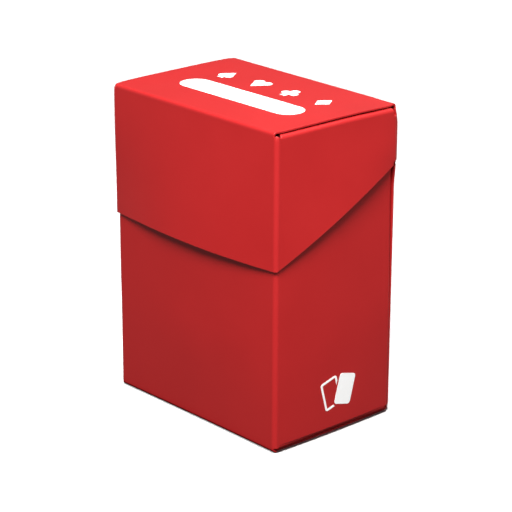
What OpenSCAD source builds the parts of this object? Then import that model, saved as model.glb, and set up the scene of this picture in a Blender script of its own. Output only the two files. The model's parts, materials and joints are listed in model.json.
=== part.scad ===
// Flip-top card deck box folded from one sheet of semi-rigid plastic, with a loose card divider.
// Millimetres. Origin: middle of the base. +X right, +Y back, +Z up, the lid's deep front faces -Y.
// The strip runs lid front, lid top, lid back, living hinge, back, bottom, front. The lid's sides
// hang on the lid front, the body's sides on the body front, and glue tabs close both shells.

/* [Overall size] */
// Width of the body across its side panels
body_w = 71.2; // [60:0.2:90]
// Depth of the body from front panel to back panel
body_d = 48.2; // [36:0.2:80]
// Height of the closed box
total_h = 98; // [92:0.5:120]

/* [Sheet] */
// Thickness of the plastic sheet
sheet_t = 0.6; // [0.5:0.05:0.8]
// Outer radius of the folds
bend_r = 1.3; // [1.2:0.1:1.8]
// Free space between the lid and the body walls
lid_gap = 0.3; // [0.25:0.05:0.4]
// Width of the glue tabs
tab_w = 11; // [8:0.5:14]
// Space between the lid's top tabs and the top panel that covers them
seat_gap = 0.3; // [0.2:0.05:0.4]
// Distance from a shell's side face to the free side edges of its top and back panels
edge_inset = 0.7; // [0.6:0.05:1]

/* [Lid] */
// Height of the living hinge
hinge_z = 79.5; // [76:0.5:81]
// Height of the lid's lower edge at the front
lid_front_z = 56.8; // [50:0.1:66]
// Outward bow of the lid's front panel in the middle of its lower edge
front_bow = 2.1; // [0:0.1:3]
// Outward bow of the lid's side panels in the middle of their slanted lower edge
side_bow = 1.5; // [0:0.1:2]

/* [Body] */
// Height of the body's front wall
front_wall_h = 82; // [70:0.5:82]
// Height of the body's side walls
side_wall_h = 91; // [84:0.5:92]

/* [Divider] */
// Width of the card divider
divider_w = 68; // [60:0.5:69]
// Height of the card divider
divider_h = 89; // [80:0.5:90]
// Thickness of the card divider
divider_t = 0.5; // [0.4:0.1:1]
// Distance of the divider behind the middle of the box
divider_y = 12; // [-20:0.5:20]

/* [Print] */
// Length of the write-on label
label_w = 50.4; // [30:0.2:60]
// Width of the write-on label
label_h = 10.0; // [6:0.2:14]
// Height of one card-suit pip
pip_h = 7; // [4:0.5:8]
// Height of the fan of cards printed on the side
fan_h = 9.6; // [6:0.2:12]
// Thickness of the printed ink
ink_t = 0.06; // [0.04:0.01:0.1]

/* [Hidden] */
$fn = 64;
half_w = body_w / 2;
front_y = -body_d / 2;
back_y = body_d / 2;
step = sheet_t + lid_gap;              // how far the lid's faces stand outside the body's
lid_half_w = half_w + step;
lid_front_y = front_y - step;
slant_y = lid_front_y + bend_r / 2;    // where the lid's slanted lower edge starts to rise
inner_back_y = back_y - sheet_t;       // inner face of the back panels, where the tabs lie
lid_under_z = total_h - sheet_t;       // underside of the lid's top panel
lid_seat_z = lid_under_z - seat_gap;   // upper face of the lid's top tabs
seat_z = sheet_t;                      // underside of the body's bottom tabs
floor_z = seat_z + sheet_t;            // inner floor, on top of the tabs
hinge_half = 1;                        // half the height of the thinned hinge band
hinge_web = 0.25;                      // thickness left in the middle of the hinge
hinge_axis_y = back_y + 0.15;          // the lid turns about this line, just behind the sheet
outer_groove_r = 0.35;                 // outer groove, round about the hinge axis
inner_groove_r = 1.1;                  // shallow groove pressed into the inner face
back_half_w = half_w - edge_inset;
lid_flap_half_w = lid_half_w - edge_inset;   // half the width of the lid's top and back panels
fold_half_w = half_w - sheet_t;        // half the width of the fold from the front to the bottom
bottom_half_w = fold_half_w - sheet_t; // half the width of the bottom panel
relief = 1.2;                          // gap left at the corners, where folds meet
chamfer = 3;                           // cut corners of the tabs
back_step = 3.6;                       // space behind the upper side walls for the lid's tabs
shoulder = 4;                          // cut corners of the side walls' upper edge
corner_cut = 0.8;                      // cut corner at the foot of each side panel's back edge
cols = 14;                             // divisions across a bowed panel
rows = 6;                              // divisions down a bowed panel
sheet_red = [0.80, 0.10, 0.11];
ink_white = [0.97, 0.97, 0.96];
milky = [0.90, 0.91, 0.90];

// ---------- sheet helpers ----------

// Flat piece of sheet or a block between two opposite corners.
module slab(a, b) {
    translate(a) cube(b - a);
}

// A quarter fold of the sheet, as a ring sector about local Z. start is the sector's first angle.
module fold(length, start) {
    rotate_extrude(angle = 90, start = start)
        translate([bend_r - sheet_t, 0]) square([sheet_t, length]);
}

// Fold along Z, from z0 to z1, about (x, y).
module fold_z(x, y, z0, z1, start) {
    translate([x, y, z0]) fold(z1 - z0, start);
}

// Fold along X, centred on the middle plane, about (y, z). Angles run from +Y towards +Z.
module fold_x(half_len, y, z, start) {
    translate([-half_len, y, z]) rotate([90, 0, 90]) fold(2 * half_len, start);
}

// Fold along Y, from y0 to y1, about (x, z). Angles run from +X towards +Z.
module fold_y(x, z, y0, y1, start) {
    translate([x, y1, z]) rotate([90, 0, 0]) fold(y1 - y0, start);
}

// Rectangle from (0, 0) to (w, h) with its two far corners cut, for a glue tab of width w.
module tab_outline(w, h) {
    polygon([[0, 0], [w - chamfer, 0], [w, chamfer], [w, h - chamfer], [w - chamfer, h], [0, h]]);
}

// Mirrors the children to the left side when side is -1.
module on_side(side) {
    mirror([side < 0 ? 1 : 0, 0, 0]) children();
}

// ---------- bowed panels ----------

// 1 in the middle of an edge, 0 at its ends.
function arch(u) = 4 * u * (1 - u);

// Fades the bow from the free lower edge (v = 0) to the fold above it (v = 1).
function fade(v) = pow(1 - v, 1.4);

function front_point(u, v, inner) = [
    (2 * u - 1) * (lid_half_w - bend_r),
    lid_front_y - front_bow * arch(u) * fade(v) + (inner ? sheet_t : 0),
    lid_front_z + v * (total_h - bend_r - lid_front_z)
];

// Height of the lid's slanted lower edge at depth y.
function slant_z(y) = lid_front_z
    + (hinge_z + hinge_half - lid_front_z) * (y - slant_y) / (back_y - slant_y);

function side_y(u) = (lid_front_y + bend_r)
    + u * (inner_back_y - bend_r - lid_front_y - bend_r);

function side_point(u, v, inner) = [
    lid_half_w + side_bow * arch(u) * fade(v) - (inner ? sheet_t : 0),
    side_y(u),
    slant_z(side_y(u)) + v * (lid_seat_z - bend_r - slant_z(side_y(u)))
];

// Indices of the outer grid start at 0, those of the inner grid at layer.
layer = (cols + 1) * (rows + 1);
function at(i, j, side) = side * layer + j * (cols + 1) + i;

// Closed solid between an outer and an inner grid of points.
module bowed_sheet(points) {
    faces = concat(
        [for (j = [0:rows - 1], i = [0:cols - 1])
            [at(i, j, 0), at(i, j + 1, 0), at(i + 1, j + 1, 0), at(i + 1, j, 0)]],
        [for (j = [0:rows - 1], i = [0:cols - 1])
            [at(i, j, 1), at(i + 1, j, 1), at(i + 1, j + 1, 1), at(i, j + 1, 1)]],
        [for (i = [0:cols - 1]) [at(i, 0, 0), at(i + 1, 0, 0), at(i + 1, 0, 1), at(i, 0, 1)]],
        [for (i = [0:cols - 1])
            [at(i, rows, 0), at(i, rows, 1), at(i + 1, rows, 1), at(i + 1, rows, 0)]],
        [for (j = [0:rows - 1]) [at(0, j, 0), at(0, j, 1), at(0, j + 1, 1), at(0, j + 1, 0)]],
        [for (j = [0:rows - 1])
            [at(cols, j, 0), at(cols, j + 1, 0), at(cols, j + 1, 1), at(cols, j, 1)]]
    );
    polyhedron(points = points, faces = faces, convexity = 4);
}

// ---------- body ----------

// Front panel with its two upright folds and the fold to the bottom.
module front_panel() {
    color(sheet_red) {
        flat = half_w - bend_r;
        slab([-flat, front_y, bend_r], [flat, front_y + sheet_t, front_wall_h]);
        fold_x(fold_half_w, front_y + bend_r, bend_r, 180);
        fold_z(flat, front_y + bend_r, bend_r, front_wall_h, 270);
        fold_z(-flat, front_y + bend_r, bend_r, front_wall_h, 180);
    }
}

// Bottom panel, the flat face that the box stands on.
module bottom_panel() {
    color(sheet_red)
        slab([-bottom_half_w, front_y + bend_r, 0], [bottom_half_w, back_y - bend_r, sheet_t]);
}

// Back panel with the fold to the bottom.
module back_panel() {
    color(sheet_red) {
        slab([-back_half_w, inner_back_y, bend_r + relief],
             [back_half_w, back_y, hinge_z - hinge_half]);
        slab([-bottom_half_w, inner_back_y, bend_r], [bottom_half_w, back_y, bend_r + relief]);
        fold_x(bottom_half_w, back_y - bend_r, bend_r, 270);
    }
}

// Side panel: full height, with cut shoulders and a step for the lid's back tab.
module side_panel(side) {
    y0 = front_y + bend_r;
    y1 = inner_back_y - bend_r;
    color(sheet_red) on_side(side)
        translate([half_w - sheet_t, 0, 0]) rotate([90, 0, 90]) linear_extrude(sheet_t) polygon([
            [y0, seat_z + bend_r],
            [y1 - corner_cut, seat_z + bend_r],
            [y1, seat_z + bend_r + corner_cut],
            [y1, hinge_z - 2 * hinge_half],
            [inner_back_y - back_step, hinge_z],
            [inner_back_y - back_step, side_wall_h - shoulder],
            [inner_back_y - back_step - shoulder, side_wall_h],
            [y0 + 2 * shoulder, side_wall_h],
            [y0 + shoulder, side_wall_h - shoulder],
            [y0, front_wall_h - 1]
        ]);
}

// Tab folded in from the side panel's foot, above the bottom panel.
module bottom_tab(side) {
    y0 = front_y + bend_r + relief;
    y1 = inner_back_y - bend_r - corner_cut;
    color(sheet_red) on_side(side) {
        fold_y(half_w - bend_r, seat_z + bend_r, y0, y1, 270);
        translate([half_w - bend_r, y0, seat_z]) linear_extrude(sheet_t)
            mirror([1, 0]) tab_outline(tab_w, y1 - y0);
    }
}

// Tab folded in from the side panel's back edge, against the back panel.
module back_tab(side) {
    z0 = seat_z + bend_r + corner_cut;
    z1 = hinge_z - 2 * hinge_half;
    color(sheet_red) on_side(side) {
        fold_z(half_w - bend_r, inner_back_y - bend_r, z0, z1, 0);
        translate([half_w - bend_r, inner_back_y, z0]) rotate([90, 0, 0])
            linear_extrude(sheet_t) mirror([1, 0]) tab_outline(tab_w, z1 - z0);
    }
}

// Groove of radius r along X, centred at depth y on the hinge line.
module hinge_groove(r, y) {
    translate([-half_w, y, hinge_z]) rotate([0, 90, 0]) cylinder(r = r, h = 2 * half_w);
}

// Thinned band between the back panel and the lid's back panel, with a groove on each face.
module living_hinge() {
    web_y = hinge_axis_y - outer_groove_r;
    color(sheet_red) difference() {
        slab([-back_half_w, inner_back_y, hinge_z - hinge_half],
             [back_half_w, back_y, hinge_z + hinge_half]);
        hinge_groove(outer_groove_r, hinge_axis_y);
        hinge_groove(inner_groove_r, web_y - hinge_web - inner_groove_r);
    }
}

// ---------- lid ----------

// Deep front panel, bowed out at its free lower edge, with its folds to the top and the sides.
module lid_front_panel() {
    flat = lid_half_w - bend_r;
    color(sheet_red) {
        bowed_sheet([for (k = [0, 1], j = [0:rows], i = [0:cols])
            front_point(i / cols, j / rows, k == 1)]);
        fold_x(lid_flap_half_w, lid_front_y + bend_r, total_h - bend_r, 90);
        fold_z(flat, lid_front_y + bend_r, lid_front_z, total_h - bend_r, 270);
        fold_z(-flat, lid_front_y + bend_r, lid_front_z, total_h - bend_r, 180);
    }
}

// Top panel. Its side edges are free and lie on the side panels' tabs.
module lid_top_panel() {
    color(sheet_red)
        slab([-lid_flap_half_w, lid_front_y + bend_r, lid_under_z],
             [lid_flap_half_w, back_y - bend_r, total_h]);
}

// Back panel above the living hinge, with its fold to the top.
module lid_back_panel() {
    color(sheet_red) {
        slab([-lid_flap_half_w, inner_back_y, hinge_z + hinge_half],
             [lid_flap_half_w, back_y, total_h - bend_r]);
        fold_x(lid_flap_half_w, back_y - bend_r, total_h - bend_r, 0);
    }
}

// Side panel with the slanted lower edge, bowed out a little in the middle of that edge.
module lid_side(side) {
    color(sheet_red) on_side(side)
        mirror([1, 0, 0]) bowed_sheet([for (k = [0, 1], j = [0:rows], i = [0:cols])
            let (p = side_point(i / cols, j / rows, k == 1)) [-p.x, p.y, p.z]]);
}

// Tab folded in from the lid side's upper edge, under the top panel.
module lid_top_tab(side) {
    y0 = lid_front_y + bend_r + relief;
    y1 = inner_back_y - bend_r - relief;
    color(sheet_red) on_side(side) {
        fold_y(lid_half_w - bend_r, lid_seat_z - bend_r, y0, y1, 0);
        translate([lid_half_w - bend_r, y0, lid_seat_z - sheet_t]) linear_extrude(sheet_t)
            mirror([1, 0]) tab_outline(tab_w, y1 - y0);
    }
}

// Tab folded in from the lid side's back edge, against the lid's back panel.
module lid_back_tab(side) {
    z0 = hinge_z + hinge_half;
    z1 = lid_seat_z - bend_r - relief;
    color(sheet_red) on_side(side) {
        fold_z(lid_half_w - bend_r, inner_back_y - bend_r, z0, z1, 0);
        translate([lid_half_w - bend_r, inner_back_y, z0]) rotate([90, 0, 0])
            linear_extrude(sheet_t) mirror([1, 0]) tab_outline(tab_w, z1 - z0);
    }
}

// ---------- print ----------

label_at = [0.5, -6];                   // middle of the label on the top panel
pips_at = [0.4, 7.6];                   // middle of the row of pips
pip_pitch = 14;
fan_at = [1.2, 13.3];                   // middle of the card fan on the side, as y and z

// Stadium-shaped patch of ink for writing on.
module write_on_label() {
    run = label_w / 2 - label_h / 2;
    color(ink_white) translate([label_at.x, label_at.y, total_h]) linear_extrude(ink_t) union() {
        square([2 * run, label_h], center = true);
        for (s = [-1, 1]) translate([s * run, 0]) circle(d = label_h);
    }
}

module diamond() {
    tip = 0.5 * pip_h;
    side = 0.36 * pip_h;
    polygon([[0, -tip], [side, 0], [0, tip], [-side, 0]]);
}

// Two round lobes over a wedge that starts where its flanks touch them.
module heart() {
    lobe_r = 0.25 * pip_h;
    lobe_x = 0.23 * pip_h;
    cheek = [0.468, 0.17] * pip_h;
    tip = 0.5 * pip_h;
    cleft = 0.32 * pip_h;
    for (s = [-1, 1]) translate([s * lobe_x, lobe_r]) circle(r = lobe_r);
    polygon([[-cheek.x, cheek.y], [0, -tip], cheek, [0, cleft]]);
}

module stem() {
    foot = 0.17 * pip_h;
    neck = 0.04 * pip_h;
    polygon([[-foot, -pip_h / 2], [foot, -pip_h / 2], [neck, 0], [-neck, 0]]);
}

module spade() {
    shrink = 0.82;
    rise = 0.09 * pip_h;
    scale(shrink) translate([0, rise]) rotate(180) heart();
    stem();
}

module club() {
    leaf_r = 0.21 * pip_h;
    top_leaf = [0, 0.28] * pip_h;
    side_leaf = [0.235, -0.05] * pip_h;
    core_r = 0.13 * pip_h;
    translate(top_leaf) circle(r = leaf_r);
    translate(side_leaf) circle(r = leaf_r);
    translate([-side_leaf.x, side_leaf.y]) circle(r = leaf_r);
    circle(r = core_r);
    stem();
}

// Row of the four card suits, behind the label.
module suit_pips() {
    color(ink_white) translate([pips_at.x, pips_at.y, total_h]) linear_extrude(ink_t) {
        translate([-1.5 * pip_pitch, 0]) spade();
        translate([-0.5 * pip_pitch, 0]) heart();
        translate([0.5 * pip_pitch, 0]) club();
        translate([1.5 * pip_pitch, 0]) diamond();
    }
}

// Rounded card outline of height fan_h, standing on the origin. grow widens it all round.
module card(grow) {
    card_w = fan_h * 0.7;
    r = fan_h * 0.1;
    for (x = [-1, 1], y = [r, fan_h - r])
        translate([x * (card_w / 2 - r), y]) circle(r = r + grow);
    translate([-card_w / 2 - grow, r]) square([card_w + 2 * grow, fan_h - 2 * r]);
    translate([-card_w / 2 + r, -grow]) square([card_w - 2 * r, fan_h + 2 * grow]);
}

// Two overlapping cards on the right side: an outlined one behind a filled one.
module card_fan_print() {
    tilt = 15;
    apart = fan_h * 0.17;
    line = 0.7;
    color(ink_white) translate([half_w, fan_at.x, fan_at.y - fan_h / 2])
        rotate([90, 0, 90]) linear_extrude(ink_t) {
            difference() {
                translate([-apart, 0]) rotate(tilt) card(0);
                translate([-apart, 0]) rotate(tilt) card(-line);
                translate([apart, 0]) rotate(-tilt) card(line);
            }
            translate([apart, 0]) rotate(-tilt) card(0);
        }
}

// ---------- divider ----------

// Loose sheet with rounded corners that parts the cards and slides front to back.
module card_divider() {
    r = chamfer;
    color(milky) translate([0, divider_y + divider_t / 2, floor_z]) rotate([90, 0, 0])
        linear_extrude(divider_t) union() {
            for (x = [-1, 1], z = [r, divider_h - r])
                translate([x * (divider_w / 2 - r), z]) circle(r = r);
            translate([-divider_w / 2, r]) square([divider_w, divider_h - 2 * r]);
            translate([-divider_w / 2 + r, 0]) square([divider_w - 2 * r, divider_h]);
        }
}

front_panel();
bottom_panel();
back_panel();
side_panel(1);  // side_panel_right
side_panel(-1);  // side_panel_left
bottom_tab(1);  // bottom_tab_right
bottom_tab(-1);  // bottom_tab_left
back_tab(1);  // back_tab_right
back_tab(-1);  // back_tab_left
living_hinge();
lid_front_panel();
lid_top_panel();
lid_back_panel();
lid_side(1);  // lid_side_right
lid_side(-1);  // lid_side_left
lid_top_tab(1);  // lid_top_tab_right
lid_top_tab(-1);  // lid_top_tab_left
lid_back_tab(1);  // lid_back_tab_right
lid_back_tab(-1);  // lid_back_tab_left
write_on_label();
suit_pips();
card_fan_print();
card_divider();
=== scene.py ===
"""Looks of the card deck box: one folded sheet of satin red plastic, white print, a milky divider.

Lengths in the shape code are millimetres in the frame's axes. make_object() and print_on() turn
them into metres.
"""

import json
import math

import bpy
import numpy as np
from mathutils import Matrix, Vector


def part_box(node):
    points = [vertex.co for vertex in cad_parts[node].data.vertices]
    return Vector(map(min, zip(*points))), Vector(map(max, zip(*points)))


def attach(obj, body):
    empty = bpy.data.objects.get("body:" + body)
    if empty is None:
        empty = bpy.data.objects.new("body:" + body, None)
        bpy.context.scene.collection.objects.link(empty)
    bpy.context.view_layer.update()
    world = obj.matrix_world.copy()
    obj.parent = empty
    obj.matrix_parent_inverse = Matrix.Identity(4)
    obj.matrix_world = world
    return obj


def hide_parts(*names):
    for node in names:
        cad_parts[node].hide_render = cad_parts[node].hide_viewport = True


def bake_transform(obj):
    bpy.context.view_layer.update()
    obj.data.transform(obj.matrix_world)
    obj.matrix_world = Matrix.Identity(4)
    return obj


MM = 0.001

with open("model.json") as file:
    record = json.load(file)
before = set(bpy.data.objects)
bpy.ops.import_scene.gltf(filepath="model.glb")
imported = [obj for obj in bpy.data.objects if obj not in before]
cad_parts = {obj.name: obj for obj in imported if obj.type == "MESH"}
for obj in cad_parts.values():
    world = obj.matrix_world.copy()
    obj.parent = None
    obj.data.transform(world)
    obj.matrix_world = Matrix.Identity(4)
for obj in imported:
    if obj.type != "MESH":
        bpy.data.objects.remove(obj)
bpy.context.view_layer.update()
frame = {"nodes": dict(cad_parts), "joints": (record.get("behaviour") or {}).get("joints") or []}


# ---------- driving dimensions, read from the frame ----------

def corners(node):
    """Lowest and highest corner of a CAD node, in millimetres."""
    low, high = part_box(node)
    return np.array(low) / MM, np.array(high) / MM


class Dims:
    """Sizes of the box in millimetres, worked out from the CAD nodes' boxes."""

    low, high = corners("front_panel")
    half_w, front_y, wall_h = high[0], low[1], high[2]
    bend_r = high[1] - low[1]
    low, high = corners("bottom_panel")
    sheet_t, bottom_half_w = high[2], high[0]
    low, high = corners("back_panel")
    back_y, back_half_w = high[1], high[0]
    low, high = corners("bottom_tab_right")
    seat_z, tab_end_x = low[2], low[0]
    seat_y0, seat_y1 = low[1], high[1]
    low, high = corners("side_panel_right")
    side_top_z, side_end_y = high[2], high[1]
    low, high = corners("back_tab_right")
    tab_z0, tab_z1 = low[2], high[2]
    low, high = corners("living_hinge")
    hinge_z0, hinge_z1 = low[2], high[2]
    low, high = corners("lid_front_panel")
    lid_half_w, lid_front_z = high[0], low[2]
    lid_front_y = high[1] - bend_r
    front_bow = lid_front_y - low[1]
    low, high = corners("lid_top_panel")
    total_h, lid_flap_half_w = high[2], high[0]
    low, high = corners("lid_side_right")
    side_bow = high[0] - lid_half_w
    low, high = corners("lid_top_tab_right")
    lid_seat_y0, lid_seat_y1, lid_seat_z = low[1], high[1], high[2]
    low, high = corners("lid_back_tab_right")
    lid_tab_z0, lid_tab_z1 = low[2], high[2]
    low, high = corners("card_divider")
    divider = (low, high)
    inner_back_y = back_y - sheet_t
    hinge_z = (hinge_z0 + hinge_z1) / 2
    tab_w = half_w - bend_r - tab_end_x
    arc = bend_r * math.pi / 2


D = Dims

# ---------- light, camera and floor ----------

SKY_HORIZON, SKY_BELOW = 0.25, 0.2  # strength of the glow at the horizon and from below it
SKY_END = 0.9                       # how high a direction's Z is where the glow has faded out
SKY_BLEND = (-0.15, 0.05)           # the Z between which the lower glow turns into the upper
# name, azimuth and elevation in degrees, distance and diameter in metres, watts
LIGHTS = [
    ("key_softbox", 40, 48, 0.5, 0.22, 4.35),
    ("side_softbox", 100, 60, 0.5, 0.4, 1.02),
    ("low_side_softbox", 90, 18, 0.5, 0.4, 0.16),
    ("top_softbox", 0, 88, 0.5, 0.5, 1.25),
    ("back_softbox", 185, 55, 0.5, 0.5, 0.5),
    ("low_back_softbox", 190, 8, 0.5, 0.3, 0.35),
    ("low_left_softbox", 268, 8, 0.5, 0.3, 0.6),
]
FLOOR_SUN, FLOOR_SUN_EL = 3.5, 84   # strength and elevation of the floor's own sun
FLOOR_SUN_ANGLE = 1.5               # its breadth in degrees, which softens the shadow
FLOOR_FILL = ("floor_fill", -8, 38, 0.3, 0.1, 0.9)  # one more light, which reaches only the floor
FLOOR_HALF, FLOOR_DROP = 6.0, 0.00005   # half the floor's side and how far below the box, metres
SHADE_MARGIN, SHADE_DROP = 1.5, 0.0001  # rim of the contact shade, mm, and how far below, metres
CAMERA_AZ, CAMERA_EL, CAMERA_ROLL = 47.68, 19.27, 0.28  # degrees
CAMERA_DISTANCE = 0.6319            # metres from the middle of the box
LENS, SENSOR = 145.9, 36            # millimetres
SHIFT_X, SHIFT_Y = 0.0035, -0.0149

# ---------- colours and finishes ----------

RED_DARK, RED_LIGHT = (0.395, 0.0075, 0.008, 1), (0.44, 0.0095, 0.010, 1)
RED_HIGHLIGHT_AND_WEAR = (0.44, 0.0105, 0.0115, 1)  # painted highlight along the folds, and the die-cut edges stress-whitened
RED_ROUGHNESS = (0.40, 0.52)
INK_DARK, INK_LIGHT, INK_ROUGHNESS = (0.96, 0.95, 0.94, 1), (1.0, 0.99, 0.98, 1), 0.5
MILKY_DARK, MILKY_LIGHT, MILKY_ROUGHNESS = (0.78, 0.80, 0.80, 1), (0.86, 0.87, 0.86, 1), 0.38
CUT_WEAR = 0.7         # how pale the stress-whitened die-cut edges are, where a fold's painted highlight is 1 and a flat panel 0

# ---------- shape details, with lengths in millimetres ----------

EDGE_R = 0.13          # radius left on the die-cut edges
LAP = 0.4              # a folded piece runs this far into the flat next to its fold
GRID = 2.0             # usual spacing of a panel's grid lines
FOLD_STEPS = 10        # grid lines around a quarter fold
FOLD_POWER = 3.0       # 2 folds in a quarter circle, more makes a sharper crease
CHAMFER = 3.0          # cut corners of the tabs
CORNER_CUT = 0.8       # cut corner at the foot of a side panel's back edge
CORNER_EASE = 0.95     # how far the lid's flat panels narrow at their back fold
NECK_EASE = 4.0        # over this height below that fold
FOOT_EASE, HINGE_EASE = 1.5, 5.0  # heights over which the body's back panel changes its width
SHOULDER = 4.0         # sloping corners of the side panels' upper edge
BACK_STEP = 3.6        # space behind the upper side panels for the lid's tabs
BACK_TAB_FOOT = 0.6    # the body's back corner fold reaches this much below its tab
TAB_REACH = 0.75       # an inner tab's fold runs this much further than the tab at both ends
HINGE_T = 0.4          # thickness of the hinge band beside its groove
GROOVE_R = 0.35        # radius of the groove
SPARE_W = 0.15         # the back panel and the hinge are this much wider on each side
BACK_W = D.back_half_w + SPARE_W
HINGE_HALF_W = (D.back_half_w + D.lid_flap_half_w) / 2 + SPARE_W
DIVIDER_R = 3.0        # rounded corners of the divider

# ---------- how far the thin sheet has settled, with lengths in millimetres ----------

BULGE = 0.5            # the lower walls stand out this far in their middle
BULGE_MID_LOSS, BULGE_TOP_LOSS = 0.2, 0.3  # and lose this much of it higher up
FRONT_TUCK = 0.7       # the front wall's foot is drawn back in
SIDE_LEAN = 0.8        # the side panels lean in towards the hinge
LEFT_SPREAD = 0.25     # the left side panel stands out in front
LID_LIFT, LID_IN, LID_BACK = 0.4, 0.12, 0.25  # the lid's lower left sits higher, in and back
LID_FLARE = 0.25       # the lid's lower right edge stands out towards the hinge
HINGE_DIP = 0.3        # the lid's right side dips at the hinge
SPRING_LEFT = 0.38     # the top panel's left edge springs up
SPRING_RIGHT, SPRING_RIGHT_GAIN = 0.06, 0.14  # its right edge does in front, and more behind
SPRING_POWER = 0.7     # below 1, the spring is fuller towards the ends of the edge
TILT, CORNER_SINK = 0.3, 0.2  # the top leans to the right, and its back right corner sinks
DOME_DROP = 0.2        # the lid's front corners round over from this far below the top's fold
DOME_LIMIT = 0.93      # and stop at this share of the fold's height


def hand(mirror):
    """Name of the side that mirror gives."""
    return "right" if mirror > 0 else "left"


# ---------- paths: a sheet's outline in section ----------

class Path:
    """Straight runs and quarter turns in a plane, measured along the sheet's outer face."""

    def __init__(self, start, heading):
        self.at_point = np.array(start, float)
        self.heading = np.array(heading, float)
        self.parts = []
        self.length = 0.0
        self.lines = [0.0]
        self.turns = 0

    def run(self, length):
        """Goes straight on for a length."""
        self.parts.append((self.length, "run", self.at_point, self.heading, 0))
        self.at_point = self.at_point + self.heading * length
        steps = max(1, round(length / GRID))
        self.lines += [self.length + length * (k + 1) / steps for k in range(steps)]
        self.length += length
        return self

    def turn(self, side):
        """A quarter fold of the outer radius: side 1 turns left, -1 turns right."""
        left = np.array([-self.heading[1], self.heading[0]]) * side
        centre = self.at_point + left * D.bend_r
        self.parts.append((self.length, "turn", centre, self.heading, side))
        self.at_point = centre + self.heading * D.bend_r
        self.turns = side
        self.heading = left
        self.lines += [self.length + D.arc * (k + 1) / FOLD_STEPS for k in range(FOLD_STEPS)]
        self.length += D.arc
        return self

    def point(self, s):
        """The point at distance s along the path. Straight parts carry on past the ends."""
        start, kind, anchor, heading, side = [p for p in self.parts if p[0] <= max(s, 0)][-1]
        if kind == "run":
            return anchor + heading * (s - start)
        left = np.array([-heading[1], heading[0]]) * side
        angle = (s - start) / D.bend_r
        return anchor + D.bend_r * (heading * math.sin(angle) - left * math.cos(angle))

    def between(self, s0, s1):
        """The path's grid lines from s0 to s1, with both ends."""
        return [s0] + [s for s in self.lines if s0 + 0.05 < s < s1 - 0.05] + [s1]


def wall_path(half_w, front_y, tab_w):
    """Plan of half a shell's wall: front, corner, side, back corner, back tab."""
    return (Path((0, front_y), (1, 0))
            .run(half_w - D.bend_r).turn(1)
            .run(D.inner_back_y - front_y - 2 * D.bend_r).turn(1)
            .run(tab_w))


BODY_WALL = wall_path(D.half_w, D.front_y, D.tab_w)
LID_WALL = wall_path(D.lid_half_w, D.lid_front_y, D.tab_w)


# ---------- bows of the lid, as in the CAD ----------

def arch(u):
    """1 in the middle of an edge, 0 at its ends."""
    return 4 * u * (1 - u) if 0 < u < 1 else 0.0


def fade(v):
    """1 at the free lower edge, 0 at the fold above."""
    return (1 - min(max(v, 0.0), 1.0)) ** 1.4


def slant_z(y):
    """Height of the lid's slanted lower edge at depth y."""
    start = D.lid_front_y + D.bend_r / 2
    share = max((y - start) / (D.back_y - start), 0.0)
    return D.lid_front_z + (D.hinge_z1 - D.lid_front_z) * share


def bow_lid(p):
    """Moves a point of the lid's wall outwards: the front and side panels stand off the body."""
    x, y, z = p
    flat = D.lid_half_w - D.bend_r
    if y < D.lid_front_y + 0.3 and abs(x) < flat:
        v = (z - D.lid_front_z) / (D.total_h - D.bend_r - D.lid_front_z)
        p[1] -= D.front_bow * arch((x + flat) / (2 * flat)) * fade(v)
    y0, y1 = D.lid_front_y + D.bend_r, D.inner_back_y - D.bend_r
    if abs(x) > D.lid_half_w - 0.3 and y0 < y < y1:
        v = (z - slant_z(y)) / (D.lid_seat_z - D.bend_r - slant_z(y))
        p[0] += math.copysign(D.side_bow * arch((y - y0) / (y1 - y0)) * fade(v), x)
    return p


# ---------- the sheet builder ----------

def layers(thickness):
    """(inset, depth, lean) of the loops round a cut edge, from the outer face to the inner one."""
    r = min(EDGE_R, thickness * 0.45)
    turns = [0, 30, 60, 90]
    outer = [(r * (1 - math.sin(math.radians(a))), r * (1 - math.cos(math.radians(a))), a)
             for a in turns]
    inner = [(inset, thickness - depth, 180 - a) for inset, depth, a in reversed(outer)]
    return outer + inner


def border_ring(na, nb):
    """The points round the border of an na by nb grid, in order."""
    return ([(i, 0) for i in range(na)] + [(na - 1, j) for j in range(1, nb)]
            + [(i, nb - 1) for i in range(na - 2, -1, -1)] + [(0, j) for j in range(nb - 2, 0, -1)])


def sheet_faces(index, ring, na, nb, last):
    """The outer face, the inner face, which is layer last, and the bands round the border."""
    faces = []
    for i in range(na - 1):
        for j in range(nb - 1):
            quad = [(i, j), (i + 1, j), (i + 1, j + 1), (i, j + 1)]
            faces.append([index[(0, *q)] for q in quad])
            faces.append([index[(last, *q)] for q in reversed(quad)])
    for k in range(last):
        for m in range(len(ring)):
            p, q = ring[m], ring[(m + 1) % len(ring)]
            faces.append([index[(k, *p)], index[(k + 1, *p)], index[(k + 1, *q)], index[(k, *q)]])
    return faces


def sheet_highlight_and_wear(points, normals, index, na, nb, last):
    """How pale each point is: a painted highlight by how sharply the sheet bends there, and CUT_WEAR
    round the stress-whitened cuts.
    """
    highlight_and_wear = np.full(len(points), CUT_WEAR)
    for k in (0, last):
        for i in range(na):
            for j in range(nb):
                before, after = index[(k, max(i - 1, 0), j)], index[(k, min(i + 1, na - 1), j)]
                turned = np.linalg.norm(normals[after] - normals[before])
                bend = turned / np.linalg.norm(points[after] - points[before])
                # paleness by bending is a painted highlight along the folds
                highlight_and_wear[index[(k, i, j)]] = min(bend * D.bend_r, 1.0)
    return highlight_and_wear


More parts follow.
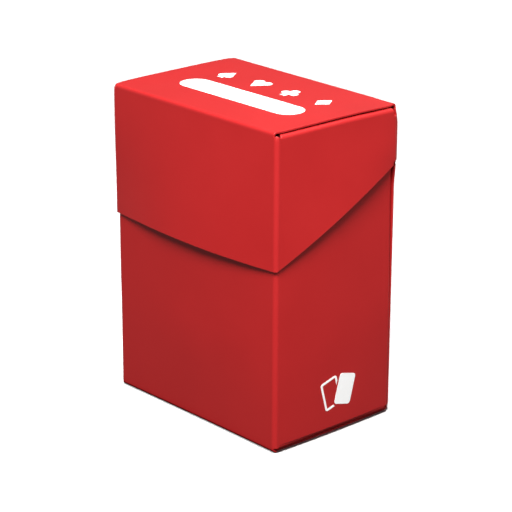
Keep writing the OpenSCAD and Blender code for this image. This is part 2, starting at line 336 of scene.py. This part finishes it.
def build_sheet(name, surface, a_lines, low, high, b_steps, cuts=(1, 1, 1, 1), side=1,
                thickness=D.sheet_t):
    """A closed sheet whose outer face is surface(a, b), a along a_lines, b from low(a) to high(a).

    cuts says for the borders at the first a, the last a, low and high whether they are cut edges,
    which get a small radius (1), or carry on in another piece (0). The last two may be functions
    of a. side is 1 where surface's a and b directions give an outward normal, else -1.
    """
    na, nb = len(a_lines), b_steps + 1
    cut_low, cut_high = (cut if callable(cut) else constant(cut) for cut in cuts[2:])
    step = 0.01

    def normal(a, b):
        """Outward normal of the outer face."""
        along_a = surface(a + step, b) - surface(a - step, b)
        along_b = surface(a, b + step) - surface(a, b - step)
        n = np.cross(along_a, along_b) * side
        return n / np.linalg.norm(n)

    def place(i, j, inset):
        """Flat position of grid point i, j, pulled in from the cut borders by inset."""
        a = a_lines[i] + inset * (cuts[0] * (i == 0) - cuts[1] * (i == na - 1))
        b0 = low(a) + inset * cut_low(a)
        b1 = high(a) - inset * cut_high(a)
        return a, b0 + (b1 - b0) * j / (nb - 1)

    def vertex(i, j, layer):
        """Point and normal of grid point i, j on one of the layers."""
        inset, depth, lean = layer
        a, b = place(i, j, inset)
        n = normal(a, b)
        da, db = (i == na - 1) - (i == 0), (j == nb - 1) - (j == 0)
        point = surface(a, b) - n * depth
        if lean in (0, 180) or (da == 0 and db == 0):
            return point, n if lean < 90 else -n
        edge = surface(a + da * step, b + db * step) - surface(a, b)
        edge /= np.linalg.norm(edge)
        return point, n * math.cos(math.radians(lean)) + edge * math.sin(math.radians(lean))

    stack = layers(thickness)
    last = len(stack) - 1
    ring = border_ring(na, nb)
    grid = [(i, j) for i in range(na) for j in range(nb)]
    points, normals, index = [], [], {}
    for k, layer in enumerate(stack):
        for i, j in grid if k in (0, last) else ring:
            index[(k, i, j)] = len(points)
            point, n = vertex(i, j, layer)
            points.append(point)
            normals.append(n)
    faces = sheet_faces(index, ring, na, nb, last)
    if side < 0:
        faces = [f[::-1] for f in faces]
    return make_object(name, points, faces, normals,
                       sheet_highlight_and_wear(points, normals, index, na, nb, last))


def add_object(name, data):
    """A new object in the scene."""
    obj = bpy.data.objects.new(name, data)
    bpy.context.scene.collection.objects.link(obj)
    return obj


def make_object(name, points, faces, normals, highlight_and_wear):
    """A smooth-shaded mesh from millimetre points, with exact normals and at each a paleness value for
    the painted fold highlight and the stress-whitened cuts.
    """
    mesh = bpy.data.meshes.new(name)
    mesh.from_pydata([tuple(p * MM) for p in points], [], faces)
    mesh.validate()
    for polygon in mesh.polygons:
        polygon.use_smooth = True
    mesh.normals_split_custom_set_from_vertices([tuple(n) for n in normals])
    # this attribute carries the painted fold highlight and the paler stress-whitened cuts
    mesh.attributes.new("highlight_and_wear", "FLOAT", "POINT").data.foreach_set("value", highlight_and_wear)
    return add_object(name, mesh)


def constant(value):
    """A border at the same height everywhere."""
    return lambda a: value


def spread(a0, a1, spacing=GRID):
    """Even grid lines from a0 to a1."""
    steps = max(1, round((a1 - a0) / spacing))
    return [a0 + (a1 - a0) * k / steps for k in range(steps + 1)]


# ---------- how the thin walls have settled ----------

def ease(value, start, end):
    """0 before start, 1 after end, smooth between."""
    t = min(max((value - start) / (end - start), 0.0), 1.0)
    return t * t * (3 - 2 * t)


def bulge_body(p):
    """The cards inside press the lower walls out in the middle, and the front foot tucks in."""
    x, y, z = p
    amount = BULGE - BULGE_MID_LOSS * ease(z, 20, 50) - BULGE_TOP_LOSS * ease(z, 50, 80)
    across = min(max(x / (2 * D.half_w) + 0.5, 0), 1)
    along = min(max(y / (2 * D.back_y) + 0.5, 0), 1)
    p[0] += math.copysign(amount * arch(along) * ease(abs(x), 30, 35), x)
    p[1] -= (amount - FRONT_TUCK * ease(-z, -32, 0)) * arch(across) * ease(-y, 18, 23)
    return p


def settle_body(p):
    """The sides lean in a little towards the hinge, and the left one out in front."""
    x, y, z = bulge_body(p)
    inward = SIDE_LEAN * ease(z, 25, 80) * ease(y, -8, 21)
    outward = LEFT_SPREAD * ease(-x, 20, 34) * ease(z, 25, 42) * ease(-y, 0, 20)
    p[0] -= math.copysign(1, x) * (inward * ease(abs(x), 28, 33) - outward)
    return p


def settle_lid(p):
    """The lid's lower left edge sits a touch higher, narrower and further back.

    Its lower right edge stands out towards the hinge, and its right side dips there.
    """
    x, y, z = p
    low_front = ease(-z, -90, -60) * ease(-y, 0, 20)
    p[2] += LID_LIFT * ease(-x, -15, 25) * low_front
    p[0] += LID_IN * ease(-x, 20, 34) * low_front
    p[1] += LID_BACK * ease(-x, 10, 34) * low_front
    p[0] += LID_FLARE * ease(x, 20, 34) * ease(y, 5, 22) * ease(-z, -92, -82)
    p[2] -= HINGE_DIP * ease(x, 15, 35) * ease(y, 0, 22) * ease(z, 86, 96)
    return p


def crisp_fold(p):
    """The top's front fold is creased harder than the others: rounder at its ends than midway."""
    across, up = p[1] - (D.lid_front_y + D.bend_r), p[2] - (D.total_h - D.bend_r)
    if across < 0 < up:
        radius = math.hypot(across, up)
        share = (-across / radius) ** FOLD_POWER + (up / radius) ** FOLD_POWER
        p[1] += across * (share ** (-1 / FOLD_POWER) - 1)
        p[2] += up * (share ** (-1 / FOLD_POWER) - 1)
    return p


def lift_flap(p):
    """The top panel's free side edges spring up from their tabs, and it leans to the right."""
    x, y, z = p
    share = (y - D.lid_front_y) / (D.back_y - D.lid_front_y)
    spring = SPRING_RIGHT + SPRING_RIGHT_GAIN * share if x > 0 else SPRING_LEFT
    up = spring * arch(share) ** SPRING_POWER * ease(abs(x), 25, 36.5)
    lean = (TILT * ease(x, -40, 36) - TILT / 2) * ease(y, -5, 22)
    lean += CORNER_SINK * ease(x, 22, 36) * ease(y, 8, 22)
    p[2] += (up - lean) * ease(z, D.total_h - 2, D.total_h - 0.4)
    return p


def dome_corner(p):
    """Rounds over the tops of the lid's front corner folds."""
    x, y, z = p
    centre_x, centre_y = D.lid_half_w - D.bend_r, D.lid_front_y + D.bend_r
    share = (z - (D.total_h - D.bend_r - DOME_DROP)) / D.bend_r
    if share > 0 and abs(x) > centre_x and y < centre_y:
        shrink = math.sqrt(1 - min(share, DOME_LIMIT) ** 2)
        p[0] = math.copysign(centre_x + (abs(x) - centre_x) * shrink, x)
        p[1] = centre_y + (y - centre_y) * shrink
    return p


# ---------- walls ----------

def wall_surface(path, mirror=1, settle=settle_body):
    """Outer face of a wall: a is the distance along the plan, b the height.

    mirror 1 or -1 gives the right or the left half, and 0 both, with negative a on the left.
    settle moves each point to where the sheet has settled.
    """
    def surface(a, b):
        x, y = path.point(abs(a))
        return settle(np.array([x * (mirror or math.copysign(1, a)), y, b]))
    return surface


def settle_lid_wall(p):
    """Everything that moves a point of the lid's wall."""
    return settle_lid(dome_corner(bow_lid(p)))


def front_lines(path, half_w):
    """Grid lines of a front panel with both its corner folds, symmetric about the middle."""
    fold = half_w - D.bend_r
    right = sorted(set(path.between(0, fold + D.arc + LAP) + [fold - 0.3, fold - 1.0]))
    return [-s for s in reversed(right[1:])] + right


def through(*points):
    """A border through (a, height) points, straight between them."""
    places = [p[0] for p in points]
    heights = [p[1] for p in points]
    return lambda a: float(np.interp(a, places, heights))


def rounded(border, radius=0.8):
    """The same border with its corners eased over a distance."""
    shares = [-1, -0.5, 0, 0.5, 1]
    weights = [1, 2, 3, 2, 1]
    return lambda a: sum(w * border(a + radius * k) for k, w in zip(shares, weights)) / sum(weights)


def body_front():
    """Front panel with both front corner folds, notched at the foot where the bottom folds in."""
    fold = D.half_w - D.bend_r
    foot = D.bend_r + LAP
    notch = through((0, 0), (fold - 1, 0), (fold, 1))
    top = through((0, D.wall_h), (fold + D.arc / 2, D.wall_h), (fold + D.arc, D.wall_h - 1))
    return build_sheet("front_panel_sheet", wall_surface(BODY_WALL, 0),
                       front_lines(BODY_WALL, D.half_w),
                       lambda a: foot - (LAP - 0.05) * notch(abs(a)), lambda a: top(abs(a)),
                       b_steps=40, cuts=(0, 0, lambda a: notch(abs(a)), 1))


def body_side(mirror):
    """Side panel with sloping shoulders in front and a step at the back for the lid's tab."""
    start = D.half_w - D.bend_r + D.arc
    back = start + D.side_end_y - D.front_y - D.bend_r
    step_s = back - BACK_STEP + D.bend_r
    top = rounded(through(
        (start, D.wall_h - 1), (start + SHOULDER, D.side_top_z - SHOULDER),
        (start + 2 * SHOULDER, D.side_top_z), (step_s - SHOULDER, D.side_top_z),
        (step_s, D.side_top_z - SHOULDER), (step_s + 0.4, D.hinge_z),
        (back, D.hinge_z0 - 1)), radius=1.2)
    foot = D.seat_z + D.bend_r + LAP
    low = through((start, foot), (start + 0.6, foot), (back - CORNER_CUT, foot),
                  (back, foot + CORNER_CUT - 0.6))
    fine = (spread(start + LAP, start + 12, spacing=0.6)
            + spread(step_s - 7, back - LAP, spacing=0.4))
    a_lines = sorted(set(BODY_WALL.between(start + LAP, back - LAP) + fine))
    return build_sheet(f"side_panel_sheet_{hand(mirror)}", wall_surface(BODY_WALL, mirror), a_lines,
                       low, top, b_steps=44, cuts=(0, 0, 0, 1), side=mirror)


def back_tab(name, path, settle, z0, z1, mirror, foot=0):
    """Fold round the back corner and the tab behind the back panel, with cut corners.

    foot is how much further down the fold itself reaches.
    """
    fold = path.length - D.tab_w - D.arc
    end = path.length
    low = rounded(through((fold - LAP, z0 - foot), (fold + D.arc / 2, z0 - foot), (fold + D.arc, z0),
                          (end - CHAMFER, z0), (end, z0 + CHAMFER)))
    high = rounded(through((fold, z1), (end - CHAMFER, z1), (end, z1 - CHAMFER)))
    return build_sheet(name, wall_surface(path, mirror, settle), path.between(fold - LAP, end),
                       low, high, b_steps=max(8, round((z1 - z0) / GRID)), cuts=(0, 1, 1, 1),
                       side=mirror)


def slant_rise(s):
    """How far the lid's lower edge has risen at distance s along the plan."""
    fold = D.lid_half_w - D.bend_r
    y = LID_WALL.point(s)[1]
    return (slant_z(y) - D.lid_front_z) * ease(s, fold, fold + D.arc)


def lid_front():
    """The lid's front panel with both corner folds, which rise beside the top panel."""
    fold = D.lid_half_w - D.bend_r
    seam = D.total_h - D.bend_r - LAP
    open_part = through((0, 0), (fold - 0.3, 0), (fold, 1))
    rise = through((0, 0), (fold, 0), (fold + D.arc / 4, 0.6), (fold + D.arc / 2, 0.75),
                   (fold + D.arc * 3 / 4, 0.6), (fold + D.arc, 0.1))
    return build_sheet("lid_front_panel_sheet", wall_surface(LID_WALL, 0, settle_lid_wall),
                       front_lines(LID_WALL, D.lid_half_w),
                       lambda a: D.lid_front_z + slant_rise(abs(a)),
                       lambda a: seam + rise(abs(a)), b_steps=26,
                       cuts=(0, 0, 1, lambda a: open_part(abs(a))))


def lid_side(mirror):
    """The lid's side panel, up to the fold of its top tab, with the slanted lower edge."""
    start = D.lid_half_w - D.bend_r + D.arc
    end = LID_WALL.length - D.tab_w - D.arc
    seam = D.lid_seat_z - D.bend_r - LAP
    return build_sheet(f"lid_side_sheet_{hand(mirror)}",
                       wall_surface(LID_WALL, mirror, settle_lid_wall),
                       LID_WALL.between(start + LAP, end - LAP),
                       lambda a: slant_z(LID_WALL.point(a)[1]), constant(seam), b_steps=20,
                       cuts=(0, 0, 1, 0), side=mirror)


# ---------- strips over the bottom and the top, and flat backs ----------

def strip_surface(path, settle=lambda p: p):
    """Outer face of a strip folded front to back: a along the section, b across the width."""
    def surface(a, b):
        y, z = path.point(a)
        return settle(np.array([b, y, z]))
    return surface


def strip(name, path, half, settle=lambda p: p):
    """A strip of half width half(a), with closer grid lines near its folds."""
    close = (spread(0, D.arc + 5, spacing=0.3)
             + spread(path.length - D.arc - 5, path.length, spacing=0.3))
    a_lines = sorted(set(path.between(0, path.length) + close))
    return build_sheet(name, strip_surface(path, settle), a_lines,
                       lambda a: -half(a), half, b_steps=40, cuts=(0, 0, 1, 1), side=path.turns)


def bottom_strip():
    """The bottom panel with the folds to the front and the back panel."""
    path = (Path((D.front_y, D.bend_r + LAP), (0, -1)).run(LAP).turn(1)
            .run(D.back_y - D.front_y - 2 * D.bend_r).turn(1).run(LAP))
    neck = D.half_w - D.bend_r
    fold_half = D.half_w - D.sheet_t
    back = path.length - LAP - D.arc
    half = rounded(through((0, neck), (LAP, fold_half), (LAP + D.arc, fold_half),
                           (LAP + D.arc + 1, D.bottom_half_w), (back, D.bottom_half_w),
                           (path.length, D.back_half_w - 0.1)), radius=0.4)
    return strip("bottom_panel_sheet", path, half, settle_body)


def top_strip():
    """The lid's top panel with the folds to its front and its back panel."""
    path = (Path((D.lid_front_y, D.total_h - D.bend_r - LAP), (0, 1)).run(LAP).turn(-1)
            .run(D.back_y - D.lid_front_y - 2 * D.bend_r).turn(-1).run(LAP))
    neck = D.lid_half_w - D.bend_r
    full = D.lid_flap_half_w
    back = path.length - LAP - D.arc
    half = rounded(through((0, neck), (LAP + D.arc / 2, neck + 0.1), (LAP + D.arc + 2, full),
                           (back - 2, full), (back, full - 0.8 * CORNER_EASE),
                           (back + 1.2, full - CORNER_EASE), (path.length, full - CORNER_EASE)))
    return strip("lid_top_panel_sheet", path, half, lambda p: lift_flap(crisp_fold(p)))


def flat_back(name, *places):
    """A back panel through (height, half width) places. a is the height, b runs across."""
    def surface(a, b):
        return np.array([b, D.back_y, a])
    z0, z1 = places[0][0], places[-1][0]
    half = rounded(through(*places), radius=0.6)
    close = spread(z0, z0 + 3, spacing=0.5) + spread(z1 - 3, z1, spacing=0.5)
    a_lines = sorted(set(spread(z0, z1) + close))
    return build_sheet(name, surface, a_lines, lambda a: -half(a), half, b_steps=36,
                       cuts=(0, 0, 1, 1))


def living_hinge():
    """The thinned band, with a round groove on its outer face and its middle in the lid's axis."""
    axis_y = frame["joints"][0]["pos_m"][1] / MM

    def surface(a, b):
        h = a - D.hinge_z
        depth = math.sqrt(max(GROOVE_R ** 2 - h ** 2, 0.0)) - (axis_y - D.back_y)
        return np.array([b, D.back_y - max(depth, 0.0), a])

    return build_sheet("living_hinge_band", surface, spread(D.hinge_z0, D.hinge_z1, spacing=0.05),
                       constant(-HINGE_HALF_W), constant(HINGE_HALF_W), b_steps=8,
                       cuts=(0, 0, 1, 1), thickness=HINGE_T)


def inward_tab(name, x, z, heading, y0, y1, mirror, settle=lambda p: p):
    """Fold from a side panel's upper or lower edge, and the tab inside. heading is 1 up, -1 down."""
    path = Path((x, z - heading * LAP), (0, heading)).run(LAP).turn(heading).run(D.tab_w)
    fold_end = LAP + D.arc
    end = path.length

    def surface(a, b):
        px, pz = path.point(a)
        return settle(np.array([px * mirror, b, pz]))

    low = rounded(through((0, y0 - TAB_REACH), (fold_end / 2, y0 - TAB_REACH), (fold_end, y0),
                          (end - CHAMFER, y0), (end, y0 + CHAMFER)), radius=0.5)
    high = rounded(through((0, y1 + TAB_REACH), (fold_end / 2, y1 + TAB_REACH), (fold_end, y1),
                           (end - CHAMFER, y1), (end, y1 - CHAMFER)), radius=0.5)
    return build_sheet(name, surface, path.between(0, end), low, high, b_steps=24,
                       cuts=(0, 1, 1, 1), side=-mirror * heading)


# ---------- divider ----------

def card_divider():
    """A loose flat sheet with rounded corners."""
    low, high = D.divider
    r = DIVIDER_R

    def round_end(x):
        """How far the rounded corner stands back from the lower or upper edge at x."""
        inside = min(x - low[0], high[0] - x)
        return r - math.sqrt(max(r ** 2 - (r - min(inside, r)) ** 2, 0.0))

    def surface(a, b):
        return np.array([a, low[1], b])

    ends = [r * (1 - math.cos(math.radians(k))) for k in range(0, 91, 15)]
    middle = spread(low[0] + r, high[0] - r, spacing=4)[1:-1]
    a_lines = [low[0] + e for e in ends] + middle + [high[0] - e for e in reversed(ends)]
    return build_sheet("card_divider_sheet", surface, a_lines,
                       lambda a: low[2] + round_end(a), lambda a: high[2] - round_end(a),
                       b_steps=30, thickness=high[1] - low[1])


# ---------- prints ----------

def print_on(node, settle):
    """The shape of a printed CAD node once more, moved with the settled sheet under it."""
    source = frame["nodes"][node]
    mesh = source.data.copy()
    for vertex in mesh.vertices:
        point = np.array(source.matrix_world @ vertex.co) / MM
        vertex.co = Vector(settle(point) * MM)
    mesh.materials.clear()
    return add_object(node + "_ink", mesh)


# ---------- materials ----------

MIX_SOCKETS = {"RGBA": (6, 7, 2), "FLOAT": (2, 3, 0)}  # a Mix node's two inputs and its output


def new_material(name):
    """A material with its node tree and its shader."""
    material = bpy.data.materials.new(name)
    material.use_nodes = True
    tree = material.node_tree
    return material, tree, tree.nodes["Principled BSDF"]


def add(tree, kind, **values):
    """A node with some of its inputs or properties set."""
    node = tree.nodes.new(kind)
    for key, value in values.items():
        if key in node.inputs:
            node.inputs[key].default_value = value
        else:
            setattr(node, key, value)
    return node


def feed(tree, socket, value):
    """Sets a socket to a plain value, or links another node's output to it."""
    if isinstance(value, bpy.types.NodeSocket):
        tree.links.new(value, socket)
    else:
        socket.default_value = value


def mix(tree, kind, share, first, second):
    """Goes from first to second as share goes from 0 to 1. kind is RGBA or FLOAT."""
    node = add(tree, "ShaderNodeMix", data_type=kind)
    a, b, out = MIX_SOCKETS[kind]
    for place, value in ((0, share), (a, first), (b, second)):
        feed(tree, node.inputs[place], value)
    return node.outputs[out]


def remap(tree, value, source, target):
    """The value carried from the range source to the range target, and held at its ends."""
    node = tree.nodes.new("ShaderNodeMapRange")
    for name, number in zip(("From Min", "From Max", "To Min", "To Max"), (*source, *target)):
        node.inputs[name].default_value = number
    feed(tree, node.inputs["Value"], value)
    return node.outputs["Result"]


def noise(tree, scale, detail):
    """Noise fixed to the piece, with scale in waves per metre."""
    place = add(tree, "ShaderNodeTexCoord")
    cloud = add(tree, "ShaderNodeTexNoise", Scale=scale, Detail=detail)
    feed(tree, cloud.inputs["Vector"], place.outputs["Object"])
    return cloud.outputs["Fac"]


def add_relief(tree, shader, height, strength, depth):
    """Fine relief, depth in metres."""
    bump = add(tree, "ShaderNodeBump", Strength=strength, Distance=depth)
    feed(tree, bump.inputs["Height"], height)
    feed(tree, shader.inputs["Normal"], bump.outputs["Normal"])


def red_sheet():
    """Satin polypropylene sheet with a fine stipple, with a painted highlight along its folds and
    stress-whitened cut edges.
    """
    material, tree, shader = new_material("satin_red_sheet")
    cloud = noise(tree, scale=60.0, detail=3.0)
    highlight_and_wear = add(tree, "ShaderNodeAttribute", attribute_name="highlight_and_wear")
    tint = mix(tree, "RGBA", cloud, RED_DARK, RED_LIGHT)
    # the folds are made paler as a painted highlight; the die-cut edges are paler from stress
    # whitening
    highlighted_tint = mix(tree, "RGBA", highlight_and_wear.outputs["Fac"], tint, RED_HIGHLIGHT_AND_WEAR)
    feed(tree, shader.inputs["Base Color"], highlighted_tint)
    feed(tree, shader.inputs["Roughness"], remap(tree, cloud, (0, 1), RED_ROUGHNESS))
    add_relief(tree, shader, noise(tree, scale=3200.0, detail=2.0),
               strength=0.25, depth=0.00004)
    return material


def white_ink():
    """Screen-printed white ink."""
    material, tree, shader = new_material("printed_white_ink")
    film = noise(tree, scale=900.0, detail=3.0)
    feed(tree, shader.inputs["Base Color"], mix(tree, "RGBA", film, INK_DARK, INK_LIGHT))
    shader.inputs["Roughness"].default_value = INK_ROUGHNESS
    add_relief(tree, shader, film, strength=0.2, depth=0.00003)
    return material


def milky_sheet():
    """Natural polypropylene sheet, milky white."""
    material, tree, shader = new_material("natural_milky_sheet")
    cloud = noise(tree, scale=90.0, detail=3.0)
    feed(tree, shader.inputs["Base Color"], mix(tree, "RGBA", cloud, MILKY_DARK, MILKY_LIGHT))
    shader.inputs["Roughness"].default_value = MILKY_ROUGHNESS
    add_relief(tree, shader, noise(tree, scale=2600.0, detail=2.0),
               strength=0.25, depth=0.00004)
    return material


# ---------- camera, lights, floor ----------

def direction(azimuth, elevation):
    """Unit vector from the box towards a place seen at this azimuth and elevation."""
    a, e = math.radians(azimuth), math.radians(elevation)
    return Vector((math.sin(a) * math.cos(e), -math.cos(a) * math.cos(e), math.sin(e)))


def aim(obj, azimuth, elevation, distance):
    """Places an object this far from the middle of the box, and returns its turn towards it."""
    target = Vector((0, 0, D.total_h / 2 * MM))
    obj.location = target + direction(azimuth, elevation) * distance
    return (target - obj.location).to_track_quat("-Z", "Y")


def add_camera():
    """Camera in front of the right corner, a little above."""
    data = bpy.data.cameras.new("camera")
    camera = add_object("camera", data)
    turn = aim(camera, CAMERA_AZ, CAMERA_EL, CAMERA_DISTANCE).to_matrix()
    roll = Matrix.Rotation(math.radians(CAMERA_ROLL), 3, "Z")
    camera.rotation_euler = (turn @ roll).to_euler()
    data.sensor_width = SENSOR
    data.lens = LENS
    data.shift_x = SHIFT_X
    data.shift_y = SHIFT_Y
    data.clip_start = 0.01
    bpy.context.scene.camera = camera


def add_light(name, azimuth, elevation, distance, size, watts):
    """A round softbox pointed at the middle of the box."""
    data = bpy.data.lights.new(name, "AREA")
    data.shape = "DISK"
    data.size = size
    data.energy = watts
    light = add_object(name, data)
    light.rotation_euler = aim(light, azimuth, elevation, distance).to_euler()
    light.visible_camera = False
    return light


def group(name, objects):
    """A collection of objects for light linking."""
    collection = bpy.data.collections.new(name)
    for obj in objects:
        collection.objects.link(obj)
    return collection


def light_only(light, lit, blockers):
    """The light reaches only these objects, and only the blockers cast its shadow."""
    light.light_linking.receiver_collection = group("lit_by_" + light.name, lit)
    light.light_linking.blocker_collection = group("blocking_" + light.name, blockers)


def keep_off_floor(light, floor):
    """The softboxes leave the floor alone, so that it stays evenly pale."""
    unlit = group("not_lit_by_" + light.name, [floor])
    light.light_linking.receiver_collection = unlit
    unlit.collection_objects[0].light_linking.link_state = "EXCLUDE"


def add_floor_lights(floor, blockers):
    """A nearly upright sun and a small fill in front whiten the floor, as a lit table does."""
    data = bpy.data.lights.new("floor_sun", "SUN")
    data.energy = FLOOR_SUN
    data.angle = math.radians(FLOOR_SUN_ANGLE)
    sun = add_object("floor_sun", data)
    down = -direction(CAMERA_AZ, FLOOR_SUN_EL)
    sun.rotation_euler = down.to_track_quat("-Z", "Y").to_euler()
    light_only(sun, [floor], blockers)
    light_only(add_light(*FLOOR_FILL), [floor], blockers)


def add_patch(name, half_x, half_y, drop, finish, grey, roughness):
    """A level rectangle under the box, which isn't part of the object. Lengths are metres."""
    mesh = bpy.data.meshes.new(name)
    outline = [(-half_x, -half_y, 0), (half_x, -half_y, 0), (half_x, half_y, 0), (-half_x, half_y, 0)]
    mesh.from_pydata(outline, [], [(0, 1, 2, 3)])
    patch = add_object(name, mesh)
    patch.location.z = -drop
    material, tree, shader = new_material(finish)
    shader.inputs["Base Color"].default_value = (grey, grey, grey, 1)
    shader.inputs["Roughness"].default_value = roughness
    mesh.materials.append(material)
    return patch


def add_floor():
    """A wide pale floor, which throws no light back at the box."""
    floor = add_patch("floor", FLOOR_HALF, FLOOR_HALF, FLOOR_DROP, "pale_floor",
                      grey=0.92, roughness=0.9)
    floor.visible_diffuse = False
    floor.visible_glossy = False
    return floor


def add_contact_shade():
    """The box keeps the table's glow from its own foot: a black patch that only light rays meet."""
    half_x, half_y = (D.half_w + SHADE_MARGIN) * MM, (D.back_y + SHADE_MARGIN) * MM
    shade = add_patch("contact_shade", half_x, half_y, SHADE_DROP, "contact_black",
                      grey=0.01, roughness=0.5)
    shade.visible_camera = False
    shade.visible_shadow = False


def add_world():
    """White to look at, and a dim glow about the horizon and from the table to light with."""
    world = bpy.data.worlds.new("studio")
    world.use_nodes = True
    bpy.context.scene.world = world
    bpy.context.scene.view_settings.view_transform = "Standard"
    tree = world.node_tree
    background = tree.nodes["Background"]
    seen = add(tree, "ShaderNodeLightPath").outputs["Is Camera Ray"]
    place = add(tree, "ShaderNodeTexCoord")
    axes = add(tree, "ShaderNodeSeparateXYZ")
    feed(tree, axes.inputs[0], place.outputs["Generated"])
    above = remap(tree, axes.outputs["Z"], (0, SKY_END), (SKY_HORIZON, 0))
    share = remap(tree, axes.outputs["Z"], SKY_BLEND, (0, 1))
    glow = mix(tree, "FLOAT", share, SKY_BELOW, above)
    feed(tree, background.inputs["Strength"], mix(tree, "FLOAT", seen, glow, 1.0))
    background.inputs["Color"].default_value = (1, 1, 1, 1)


# ---------- assembly ----------

body_pieces = []


def dress(obj, material, slot, body, *nodes):
    """Gives a piece its material and its body, and hides the CAD nodes that it stands for. The slot
    argument is not used.
    """
    if body == "box_body":
        body_pieces.append(obj)
    obj.data.materials.append(material)
    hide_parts(*nodes)
    if body:
        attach(obj, body)


def dress_red(obj, body, node):
    """A piece of the folded red sheet."""
    dress(obj, RED, "red_sheet", body, node)


def back_panel():
    """The body's back panel, which narrows at its foot and widens to the hinge."""
    foot = D.bend_r + LAP
    return flat_back("back_panel_sheet", (foot, BACK_W - SPARE_W), (foot + FOOT_EASE, BACK_W),
                     (D.hinge_z0 - HINGE_EASE, BACK_W), (D.hinge_z0, HINGE_HALF_W))


def lid_back_panel():
    """The lid's back panel, which narrows at the fold to the top."""
    neck = D.total_h - D.bend_r - LAP
    return flat_back("lid_back_panel_sheet", (D.hinge_z1, D.lid_flap_half_w),
                     (neck - NECK_EASE, D.lid_flap_half_w),
                     (neck, D.lid_flap_half_w - CORNER_EASE))


def add_sides(mirror):
    """The side panels and tabs of the body and the lid on one side."""
    which = hand(mirror)
    dress_red(body_side(mirror), "box_body", f"side_panel_{which}")
    dress_red(lid_side(mirror), "lid", f"lid_side_{which}")
    dress_red(back_tab(f"back_tab_sheet_{which}", BODY_WALL, settle_body,
                       D.tab_z0, D.tab_z1, mirror, BACK_TAB_FOOT), "box_body", f"back_tab_{which}")
    dress_red(back_tab(f"lid_back_tab_sheet_{which}", LID_WALL, settle_lid_wall,
                       D.lid_tab_z0, D.lid_tab_z1, mirror), "lid", f"lid_back_tab_{which}")
    dress_red(inward_tab(f"bottom_tab_sheet_{which}", D.half_w, D.seat_z + D.bend_r, -1,
                         D.seat_y0, D.seat_y1, mirror), "box_body", f"bottom_tab_{which}")
    dress_red(inward_tab(f"lid_top_tab_sheet_{which}", D.lid_half_w, D.lid_seat_z - D.bend_r, 1,
                         D.lid_seat_y0, D.lid_seat_y1, mirror, settle_lid),
              "lid", f"lid_top_tab_{which}")


add_camera()
add_world()
floor = add_floor()
add_contact_shade()
for light in LIGHTS:
    keep_off_floor(add_light(*light), floor)

RED, INK, MILKY = red_sheet(), white_ink(), milky_sheet()

dress_red(body_front(), "box_body", "front_panel")
dress_red(bottom_strip(), "box_body", "bottom_panel")
dress_red(back_panel(), "box_body", "back_panel")
dress_red(lid_front(), "lid", "lid_front_panel")
dress_red(top_strip(), "lid", "lid_top_panel")
dress_red(lid_back_panel(), "lid", "lid_back_panel")
add_sides(1)
add_sides(-1)

hinge = living_hinge()
dress_red(hinge, None, "living_hinge")
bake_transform(hinge)

dress(card_divider(), MILKY, "milky_sheet", "divider", "card_divider")

for node in ("write_on_label", "suit_pips"):
    dress(print_on(node, lift_flap), INK, "white_ink", "lid", node)
dress(print_on("card_fan_print", settle_body), INK, "white_ink", "box_body", "card_fan_print")

add_floor_lights(floor, body_pieces)
